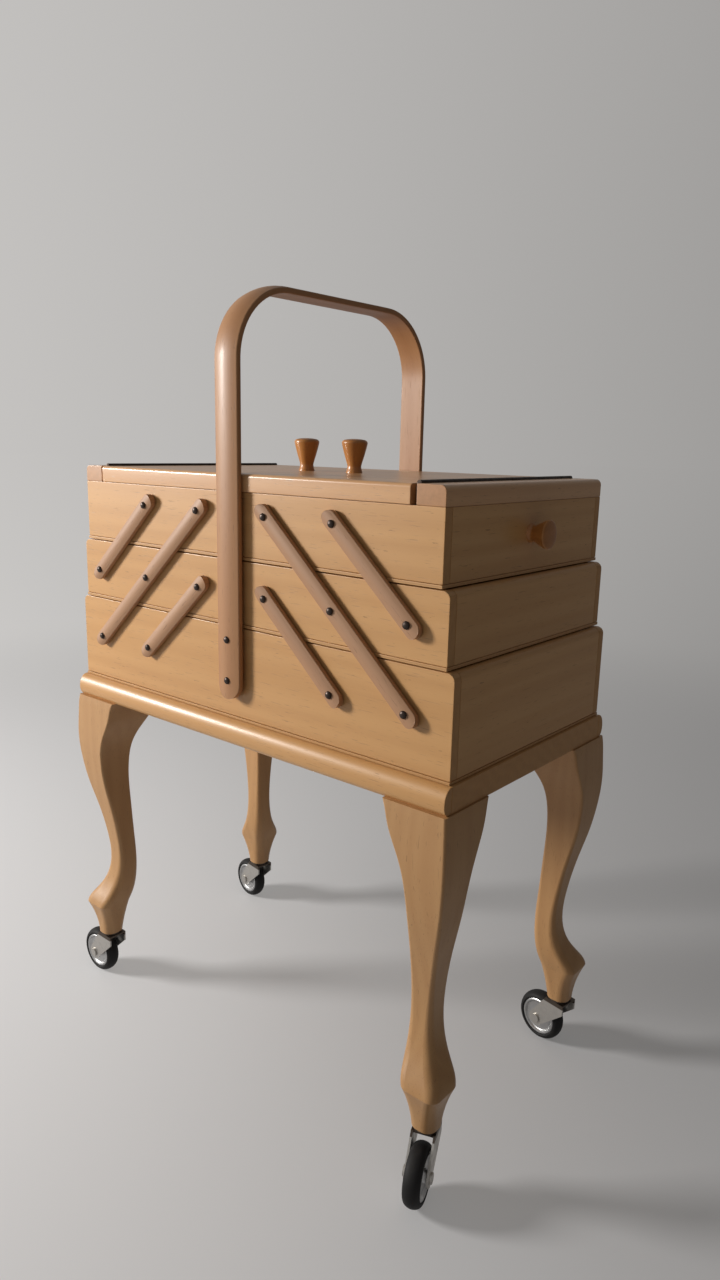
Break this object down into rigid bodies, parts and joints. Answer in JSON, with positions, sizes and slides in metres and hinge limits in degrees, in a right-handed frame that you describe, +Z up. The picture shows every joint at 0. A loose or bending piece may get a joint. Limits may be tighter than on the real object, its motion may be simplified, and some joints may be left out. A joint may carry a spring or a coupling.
{
  "type": "sewing box with trays",
  "caption": "Cantilever sewing box with hinged lids and swing-out trays on wooden arms, a bentwood carrying handle and curved legs on swivel casters.",
  "frame": {"origin": "middle of the base board's underside", "axes": "+Z up, +X to the right along the box's length, +Y from the front to the back"},
  "size_m": [0.5105, 0.2954, 0.735],
  "materials": {
    "case_wood": "satin lacquer",
    "plywood": "thin plywood, satin",
    "lid_wood": "glossy lacquer",
    "leg_wood": "satin lacquer",
    "arm_wood": "satin lacquer",
    "bent_wood": "satin lacquer, steam bent",
    "knob_wood": "glossy amber stain",
    "dark_screws": "dark bronze",
    "hinge_metal": "dark bronze",
    "nickel": "worn nickel plate",
    "hub_metal": "pressed, dull",
    "tyre_rubber": "matt"
  },
  "bodies": {
    "cabinet": {"box_sides": "case_wood", "box_ends": "case_wood", "box_floor": "plywood", "base_board": "case_wood", "base_mouldings": "case_wood", "box_pivot_screws": "dark_screws", "front_legs": "leg_wood", "back_legs": "leg_wood", "handle": "bent_wood", "handle_spacers": "bent_wood", "handle_screws": "dark_screws", "caster_stems": "nickel"},
    "right_long_arm_pair": {"right_long_arms": "arm_wood"},
    "right_middle_tray": {"right_middle_tray_sides": "case_wood", "right_middle_tray_ends": "case_wood", "right_middle_tray_floor": "plywood", "right_middle_tray_screws": "dark_screws"},
    "right_top_tray": {"right_top_tray_sides": "case_wood", "right_top_tray_ends": "case_wood", "right_top_tray_floor": "plywood", "right_top_tray_screws": "dark_screws", "right_end_strip": "lid_wood", "right_tray_hinge_leaf": "hinge_metal", "right_hinge_pin": "hinge_metal", "right_end_knob": "knob_wood"},
    "right_lower_arm_pair": {"right_lower_arms": "arm_wood"},
    "right_upper_arm_pair": {"right_upper_arms": "arm_wood"},
    "right_lid_panel": {"right_lid": "lid_wood", "right_lid_hinge_leaf": "hinge_metal", "right_lid_knob": "knob_wood"},
    "left_long_arm_pair": {"left_long_arms": "arm_wood"},
    "left_middle_tray": {"left_middle_tray_sides": "case_wood", "left_middle_tray_ends": "case_wood", "left_middle_tray_floor": "plywood", "left_middle_tray_screws": "dark_screws"},
    "left_top_tray": {"left_top_tray_sides": "case_wood", "left_top_tray_ends": "case_wood", "left_top_tray_floor": "plywood", "left_top_tray_screws": "dark_screws", "left_end_strip": "lid_wood", "left_tray_hinge_leaf": "hinge_metal", "left_hinge_pin": "hinge_metal", "left_end_knob": "knob_wood"},
    "left_lower_arm_pair": {"left_lower_arms": "arm_wood"},
    "left_upper_arm_pair": {"left_upper_arms": "arm_wood"},
    "left_lid_panel": {"left_lid": "lid_wood", "left_lid_hinge_leaf": "hinge_metal", "left_lid_knob": "knob_wood"},
    "front_left_caster": {"front_left_caster_fork": "nickel"},
    "front_left_wheel": {"front_left_caster_hub": "hub_metal", "front_left_caster_tyre": "tyre_rubber"},
    "front_right_caster": {"front_right_caster_fork": "nickel"},
    "front_right_wheel": {"front_right_caster_hub": "hub_metal", "front_right_caster_tyre": "tyre_rubber"},
    "back_left_caster": {"back_left_caster_fork": "nickel"},
    "back_left_wheel": {"back_left_caster_hub": "hub_metal", "back_left_caster_tyre": "tyre_rubber"},
    "back_right_caster": {"back_right_caster_fork": "nickel"},
    "back_right_wheel": {"back_right_caster_hub": "hub_metal", "back_right_caster_tyre": "tyre_rubber"}
  },
  "joints": [
    {"name": "right_tray_swing", "type": "hinge", "parent": "cabinet", "child": "right_long_arm_pair", "pos_m": [0.194, 0, 0.07], "axis": [0, 1, 0], "range_deg": [0, 95.5]},
    {"name": "right_middle_tray_pivot", "type": "hinge", "parent": "right_long_arm_pair", "child": "right_middle_tray", "pos_m": [0.1185, 0, 0.1385], "axis": [0, 1, 0], "range_deg": [-96, 0.5]},
    {"name": "right_top_tray_pivot", "type": "hinge", "parent": "right_long_arm_pair", "child": "right_top_tray", "pos_m": [0.043, 0, 0.207], "axis": [0, 1, 0], "range_deg": [-96, 0.5]},
    {"name": "right_lower_arm_pivot", "type": "hinge", "parent": "cabinet", "child": "right_lower_arm_pair", "pos_m": [0.1185, 0, 0.07], "axis": [0, 1, 0], "range_deg": [-0.5, 96]},
    {"name": "right_upper_arm_pivot", "type": "hinge", "parent": "right_middle_tray", "child": "right_upper_arm_pair", "pos_m": [0.194, 0, 0.1385], "axis": [0, 1, 0], "range_deg": [-0.5, 96]},
    {"name": "right_lid_hinge", "type": "hinge", "parent": "right_top_tray", "child": "right_lid_panel", "pos_m": [0.192, 0, 0.2414], "axis": [0, 1, 0], "range_deg": [0, 178]},
    {"name": "left_tray_swing", "type": "hinge", "parent": "cabinet", "child": "left_long_arm_pair", "pos_m": [-0.194, 0, 0.07], "axis": [0, -1, 0], "range_deg": [0, 95.5]},
    {"name": "left_middle_tray_pivot", "type": "hinge", "parent": "left_long_arm_pair", "child": "left_middle_tray", "pos_m": [-0.1185, 0, 0.1385], "axis": [0, -1, 0], "range_deg": [-96, 0.5]},
    {"name": "left_top_tray_pivot", "type": "hinge", "parent": "left_long_arm_pair", "child": "left_top_tray", "pos_m": [-0.043, 0, 0.207], "axis": [0, -1, 0], "range_deg": [-96, 0.5]},
    {"name": "left_lower_arm_pivot", "type": "hinge", "parent": "cabinet", "child": "left_lower_arm_pair", "pos_m": [-0.1185, 0, 0.07], "axis": [0, -1, 0], "range_deg": [-0.5, 96]},
    {"name": "left_upper_arm_pivot", "type": "hinge", "parent": "left_middle_tray", "child": "left_upper_arm_pair", "pos_m": [-0.194, 0, 0.1385], "axis": [0, -1, 0], "range_deg": [-0.5, 96]},
    {"name": "left_lid_hinge", "type": "hinge", "parent": "left_top_tray", "child": "left_lid_panel", "pos_m": [-0.192, 0, 0.2414], "axis": [0, -1, 0], "range_deg": [0, 178]},
    {"name": "front_left_swivel", "type": "hinge", "parent": "cabinet", "child": "front_left_caster", "pos_m": [-0.222, -0.116, -0.285], "axis": [0, 0, 1], "continuous": true},
    {"name": "front_left_roll", "type": "hinge", "parent": "front_left_caster", "child": "front_left_wheel", "pos_m": [-0.242, -0.116, -0.312], "axis": [0, -1, 0], "continuous": true},
    {"name": "front_right_swivel", "type": "hinge", "parent": "cabinet", "child": "front_right_caster", "pos_m": [0.222, -0.116, -0.285], "axis": [0, 0, 1], "continuous": true},
    {"name": "front_right_roll", "type": "hinge", "parent": "front_right_caster", "child": "front_right_wheel", "pos_m": [0.22884, -0.13479, -0.312], "axis": [0.9397, 0.342, 0], "continuous": true},
    {"name": "back_left_swivel", "type": "hinge", "parent": "cabinet", "child": "back_left_caster", "pos_m": [-0.222, 0.116, -0.285], "axis": [0, 0, 1], "continuous": true},
    {"name": "back_left_roll", "type": "hinge", "parent": "back_left_caster", "child": "back_left_wheel", "pos_m": [-0.24175, 0.11913, -0.312], "axis": [-0.1564, -0.9877, 0], "continuous": true},
    {"name": "back_right_swivel", "type": "hinge", "parent": "cabinet", "child": "back_right_caster", "pos_m": [0.222, 0.116, -0.285], "axis": [0, 0, 1], "continuous": true},
    {"name": "back_right_roll", "type": "hinge", "parent": "back_right_caster", "child": "back_right_wheel", "pos_m": [0.2023, 0.11947, -0.312], "axis": [-0.1736, -0.9848, 0], "continuous": true}
  ],
  "couplings": [
    {"joint": "right_middle_tray_pivot", "follows": "right_tray_swing", "ratio": -1},
    {"joint": "right_top_tray_pivot", "follows": "right_tray_swing", "ratio": -1},
    {"joint": "right_lower_arm_pivot", "follows": "right_tray_swing", "ratio": 1},
    {"joint": "right_upper_arm_pivot", "follows": "right_tray_swing", "ratio": 1},
    {"joint": "left_middle_tray_pivot", "follows": "left_tray_swing", "ratio": -1},
    {"joint": "left_top_tray_pivot", "follows": "left_tray_swing", "ratio": -1},
    {"joint": "left_lower_arm_pivot", "follows": "left_tray_swing", "ratio": 1},
    {"joint": "left_upper_arm_pivot", "follows": "left_tray_swing", "ratio": 1}
  ]
}
